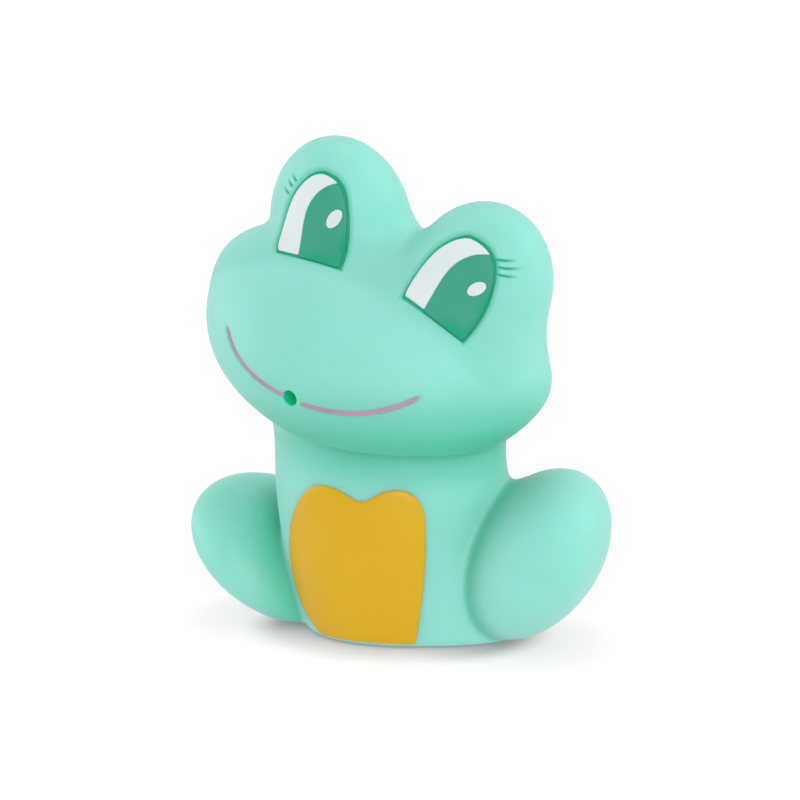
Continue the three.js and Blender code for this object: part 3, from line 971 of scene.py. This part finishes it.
def body_shade(points):
    """How much painted shade a point of the body gets round the neck and on the haunches beside the
    belly, 0 to 1.
    """
    belly = belly_field(points)
    near_neck = smooth_step(points[:, 2], head_lowest - neck_reach, head_lowest + 1)
    # Painted shade round the neck under the head, lighter towards the toy's right
    neck_shade_kept = 1 - neck_shade_fade * smooth_step(-points[:, 0], 0, neck_shade_fade_reach)
    on_torso = 1 - smooth_step(torso_field(points), 0, neck_shade_depth)
    shade = neck_shade * neck_shade_kept * near_neck * on_torso
    # Painted shade on each haunch beside the belly
    for haunch_field, (strength, reach) in zip(haunch_fields, crease_shades):
        on_haunch = smooth_step(belly - haunch_field(points), -crease_edge, crease_edge / 2)
        near = 1 - smooth_step(belly, 0, reach)
        shade = np.maximum(shade, strength * on_haunch * near)
    return shade


body_room = (-38, -24, 0), (38, 24, 40)
base_split_gap = 0.05


def build_body():
    """The body's skin, wrapped fine and split beside the haunches and round the base."""
    points, faces = wrapped(body_field, *body_room, skin_step)
    for reach in body_split_reaches:
        centres = points[faces].mean(1)
        wanted = (centres[:, 2] < reach) & (centres[:, 2] > base_split_gap)
        for haunch_field in haunch_fields:
            wanted |= np.abs(belly_field(centres) - haunch_field(centres)) < reach
        points, faces = refined(points, faces, wanted)
        points = settled(body_field, points, split_settle_rounds)
    standing = inside_box(points + toy_middle, "body_skin")
    # The mask carries the body's painted shade
    return as_piece("body_moulding", standing, faces, "body", ["body_skin"], vinyl,
                    {"painted_shade": body_shade(points), "glow": np.zeros(len(points))})


def sheet_over(outline, holes, spacing):
    """Points and triangles that fill an outline in X and Z, with finer rows along its edge."""
    loops = [np.asarray(outline), *[np.asarray(hole) for hole in holes]]

    def filled(places):
        """Which places lie inside the outline and outside its holes."""
        inside = is_within(places, loops[0])
        for hole in loops[1:]:
            inside &= ~is_within(places, hole)
        return inside

    places = []
    edges = []
    for loop in loops:
        first = sum(len(part) for part in places)
        places.append(loop)
        edges += [(first + k, first + (k + 1) % len(loop)) for k in range(len(loop))]
    for loop in loops:
        for row in coat_rows:
            for amount in (row, -row):
                places.append(inset(loop, amount))
    low, high = loops[0].min(0), loops[0].max(0)
    steps = [np.arange(a + spacing / 3, b, spacing) for a, b in zip(low, high)]
    middle = np.stack(np.meshgrid(*steps, indexing="ij"), axis=-1).reshape(-1, 2)
    nearest = np.min([path_distance(middle, loop, True)[0] for loop in loops], axis=0)
    places.append(middle[nearest > coat_rows[-1] * clear_of_rows])
    loose = np.concatenate(places[len(loops):])
    everything = np.concatenate([*loops, loose[filled(loose)]])
    made = delaunay_2d_cdt([Vector(place) for place in everything], edges, [], 0, same_place)
    flat = np.array([tuple(place) for place in made[0]])
    faces = np.array(made[2])
    distance = np.min([path_distance(flat, loop, True)[0] for loop in loops], axis=0)
    return flat, faces[filled(flat[faces].mean(1))], distance


# A coat's rim is this share of its full thickness
coat_rim_share = 0.25


def coat(field, outline, top, thickness, edge, holes=(), spacing=coat_step):
    """A thin closed coat over an outline: its top lies at a level and rounds down at its edge.
    Besides points and faces it gives each point's X and Z place and its distance from the rim.
    """
    flat, faces, distance = sheet_over(outline, holes, spacing)
    used, faces = np.unique(faces, return_inverse=True)
    faces = faces.reshape(-1, 3)
    flat, distance = flat[used], distance[used]
    surface = onto_front(field, flat)
    outward = outward_of(field, surface)
    rounded = np.sqrt(np.clip(1 - (1 - np.clip(distance / edge, 0, 1)) ** 2, 0, 1))
    height = coat_rim_share + (1 - coat_rim_share) * rounded
    upper = surface + outward * (top - thickness + thickness * height)[:, None]
    under = surface + outward * (top - thickness)
    corner = flat[faces]
    turn = np.cross(corner[:, 1] - corner[:, 0], corner[:, 2] - corner[:, 0])
    faces = np.where((turn > 0)[:, None], faces, faces[:, ::-1])
    ends = faces[:, [0, 1, 1, 2, 2, 0]].reshape(-1, 2)
    keys = ends[:, 0] * len(flat) + ends[:, 1]
    mirrored = ends[:, 1] * len(flat) + ends[:, 0]
    open_ends = ends[~np.isin(keys, mirrored)]
    a, b = open_ends.T
    count = len(flat)
    walls = np.concatenate([np.column_stack([b, a, a + count]),
                            np.column_stack([b, a + count, b + count])])
    faces = np.concatenate([faces, faces[:, ::-1] + count, walls])
    return np.concatenate([upper, under]), faces, np.tile(flat, (2, 1)), np.tile(distance, 2)


def head_coat(name, outline, paint, node, level, holes=(), edge=eye_coat_edge,
              spacing=coat_step, thickness=eye_coat_thickness):
    """A coat on the head, with its outline in X and Z of the head and its level below the skin."""
    points, faces, places, distance = coat(face_field, outline, -level, thickness, edge, holes,
                                           spacing)
    # Painted shade: how much of the deeper rim colour each point takes, on the coat's lower side
    # towards the toy's left
    low_side = (places - outline.mean(0)) @ iris_painted_shade_way
    rim = 1 - smooth_step(distance, 0, iris_painted_shade_width)
    rim *= smooth_step(low_side, 0, iris_painted_shade_start)
    return as_piece(name, out_of_head(points) + toy_middle, faces, "head", [node], paint,
                    {"rim": rim})


# The edge between white and green has this many points and runs on for this many of its own
# steps at each end. Each side of it is closed this far out.
eye_edge_count = 60
eye_edge_overrun = 30
eye_far = 60


def split_eye(eye):
    """The white crescent and the green part of an eye, from one outline and one curved edge."""
    outline = eye_shapes[eye["name"]]
    edge = bezier(eye["edge"], eye_edge_count)
    before = edge[0] - (edge[1] - edge[0]) * eye_edge_overrun
    after = edge[-1] + (edge[-1] - edge[-2]) * eye_edge_overrun
    run = np.concatenate([[before], edge, [after]])
    green_side = np.concatenate([run, [(eye_far, after[1]), (eye_far, before[1])]])
    white_side = np.concatenate([run, [(-eye_far, after[1] + eye_far), (-eye_far, before[1])]])
    return (clipped(inset(outline, white_inset) + white_shift, white_side, run),
            clipped(inset(outline, iris_inset) + iris_shift, green_side, run))


# Points of the cut that are nearer than this to the ends of the outline are left out
least_gap = 0.06


def clipped(outline, region, cut):
    """The part of an outline inside a region, closed along the cut."""
    outline = even(outline, eye_cut_step, closed=True)
    keep = is_within(outline, region)
    turn = int(np.argmax(keep & ~np.roll(keep, 1)))
    outline, keep = np.roll(outline, -turn, axis=0), np.roll(keep, -turn)
    part = outline[keep]
    cut = even(cut, eye_cut_step)
    inner = cut[is_within(cut, outline)]
    if np.linalg.norm(inner[0] - part[-1]) > np.linalg.norm(inner[-1] - part[-1]):
        inner = inner[::-1]
    for end in (part[-1], part[0]):
        inner = inner[np.linalg.norm(inner - end, axis=1) > least_gap]
    return even(np.concatenate([part, inner]), eye_part_step, closed=True)


def stroke_outline(curve, widths, tapers):
    """A closed outline round a curve, from one width to another, with tapered ends."""
    along = np.gradient(curve, axis=0)
    along /= np.linalg.norm(along, axis=1)[:, None]
    across = np.column_stack([-along[:, 1], along[:, 0]])
    share = np.linspace(0, 1, len(curve))
    full = smooth_step(share, 0, tapers[0]) * smooth_step(1 - share, 0, tapers[1])
    full = mouth_paint_end_share + (1 - mouth_paint_end_share) * full
    half = np.interp(share, (0, 1), widths) / 2 * full
    return np.concatenate([curve + across * half[:, None], (curve - across * half[:, None])[::-1]])


def build_eyes():
    """White crescent, green part and glint of each eye, as coats sunk in the eye's hollow."""
    for eye in eyes:
        name = eye["name"]
        white, green = split_eye(eye)
        glint = glint_outline(eye["glint"], eye["glint_lean"])
        head_coat(f"{name}_white_coat", white, white_paint, f"{name}_eye_white",
                  eye_coat_depth)
        head_coat(f"{name}_iris_coat", green, green_paint, f"{name}_eye_iris",
                  eye_coat_depth, holes=[glint])
        head_coat(f"{name}_glint_coat", glint, glint_paint, f"{name}_eye_glint",
                  eye_coat_depth - glint_rise, spacing=glint_step)


def build_mouth():
    """The pink line in its groove, on each side of the squirt hole."""
    for name, curve in mouth_curves.items():
        stroke = stroke_outline(curve, mouth_paint_widths[name], mouth_paint_tapers)
        outline = even(stroke, mouth_outline_step, closed=True)
        head_coat(f"mouth_{name}_coat", outline, pink_paint, f"mouth_line_{name}",
                  mouth_paint_depth, edge=mouth_paint_edge, spacing=mouth_step,
                  thickness=mouth_paint_thickness)


def build_bib():
    """The yellow coat on the belly, raised and rounded down at its edge."""
    points, faces, *_ = coat(belly_field, bib_outline(), bib_raise, bib_raise + bib_overlap,
                             bib_pillow_width, spacing=bib_step)
    return as_piece("bib_coat", points + toy_middle, faces, "body",
                    ["belly_patch"], yellow_paint)


build_body()
build_head()
build_eyes()
build_mouth()
build_bib()

# Camera, at the photograph's angle. Its angles are in degrees and its lengths in millimetres.
camera_azimuth = 18
camera_elevation = 11
camera_distance = 520
aim_side = 0.37
aim_height = 35.3
camera_lens = 148.5
camera_sensor = 36
camera_near_limit = 10


def build_camera():
    """The camera, which looks straight along its own backward axis."""
    azimuth, elevation = math.radians(camera_azimuth), math.radians(camera_elevation)
    rightward = Vector((math.cos(azimuth), math.sin(azimuth), 0))
    backward = Vector((math.sin(azimuth) * math.cos(elevation),
                       -math.cos(azimuth) * math.cos(elevation), math.sin(elevation)))
    upward = backward.cross(rightward)
    data = bpy.data.cameras.new("camera")
    data.sensor_width = camera_sensor
    data.lens = camera_lens
    data.clip_start = camera_near_limit * MM
    camera = bpy.data.objects.new("camera", data)
    place = rightward * aim_side + upward * aim_height + backward * camera_distance
    axes = Matrix((rightward, upward, backward)).transposed().to_4x4()
    camera.matrix_world = Matrix.Translation((place + Vector(toy_middle)) * MM) @ axes
    scene.collection.objects.link(camera)
    bpy.context.scene.camera = camera


# Floor, background and lamps. These lengths are in metres.
floor_reach = 6
floor_paleness = 0.12
floor_roughness = 0.9

# The floor's own light: what it gives the toy, and what is seen of it near the toy and far away
floor_bounce = 0.6
floor_glow_near = 0.92
floor_glow_far = 1
floor_shade_reach = 0.12

# Shade where the toy stands: how far from the toy it starts, how deep it is, and the share of it
# that is left beside the base
floor_shade_size = 0.011
floor_shade_depth = 0.8
floor_side_share = 0.35
floor_base_reach = (0.018, 0.025)


def floor_finish():
    """White to the camera, with shade at the toy's base that open sky takes away."""
    finish = Finish("white_floor", roughness=floor_roughness)
    paleness = (floor_paleness, floor_paleness, floor_paleness, 1)
    finish.wire(base_color=paleness)
    away = finish.node("ShaderNodeVectorMath", {"operation": "LENGTH"}, {0: finish.place}, 1)
    far = finish.spread(away, floor_shade_reach, 2 * floor_shade_reach)
    aside = finish.spread(away, *floor_base_reach)
    open_sky = finish.node("ShaderNodeAmbientOcclusion", None, {"Distance": floor_shade_size}, 1)
    depth = floor_shade_depth - floor_shade_depth * (1 - floor_side_share) * aside
    lit = 1 - depth * (1 - open_sky)
    glow_seen = (floor_glow_near + (floor_glow_far - floor_glow_near) * far) * lit
    strength = floor_bounce + finish.looked_at() * (glow_seen - floor_bounce)
    glow = finish.node("ShaderNodeEmission", None, {"Color": (1, 1, 1, 1), "Strength": strength})
    surface = Signal(finish, finish.shader.outputs[0])
    both = finish.node("ShaderNodeAddShader", None, {0: surface, 1: glow})
    finish.feed(finish.tree.nodes["Material Output"].inputs["Surface"], both)
    return finish


def build_floor():
    """A pale floor that keeps the toy's shade."""
    mesh = bpy.data.meshes.new("floor")
    corners = [(-floor_reach, -floor_reach, 0), (floor_reach, -floor_reach, 0),
               (floor_reach, floor_reach, 0), (-floor_reach, floor_reach, 0)]
    mesh.from_pydata(corners, [], [(0, 1, 2, 3)])
    mesh.materials.append(floor_finish().material)
    floor = bpy.data.objects.new("floor", mesh)
    scene.collection.objects.link(floor)


sky_light = 0.37
sky_seen = 1


def build_world():
    """Even soft light from all round, which the camera and reflections see as white."""
    world = bpy.data.worlds.new("studio")
    scene.world = world
    nodes = Nodes(world)
    background = nodes.tree.nodes["Background"]
    nodes.feed(background.inputs["Color"], (1, 1, 1, 1))
    nodes.feed(background.inputs["Strength"],
               sky_light + (sky_seen - sky_light) * nodes.looked_at())


lamp_aim = Vector((0, 0, 0.04))


def lamp(name, place, size, power):
    """A soft round lamp, with its place and size in metres, aimed at the toy's middle."""
    data = bpy.data.lights.new(name, "AREA")
    data.shape = "DISK"
    data.size = size
    data.energy = power
    made = bpy.data.objects.new(name, data)
    made.location = place
    way = lamp_aim - Vector(place)
    made.rotation_euler = way.to_track_quat("-Z", "Y").to_euler()
    scene.collection.objects.link(made)


scene.view_settings.view_transform = "Standard"
build_camera()
build_floor()
build_world()
lamp("front_lamp", (0.5, -1.0, 0.28), 0.6, 5.9)
lamp("top_lamp", (0.0, 0.15, 1.05), 0.5, 2.4)
lamp("left_side_lamp", (-0.95, -0.05, 0.25), 0.7, 3.4)
lamp("right_side_lamp", (0.9, 0.4, 0.5), 0.7, 3.4)
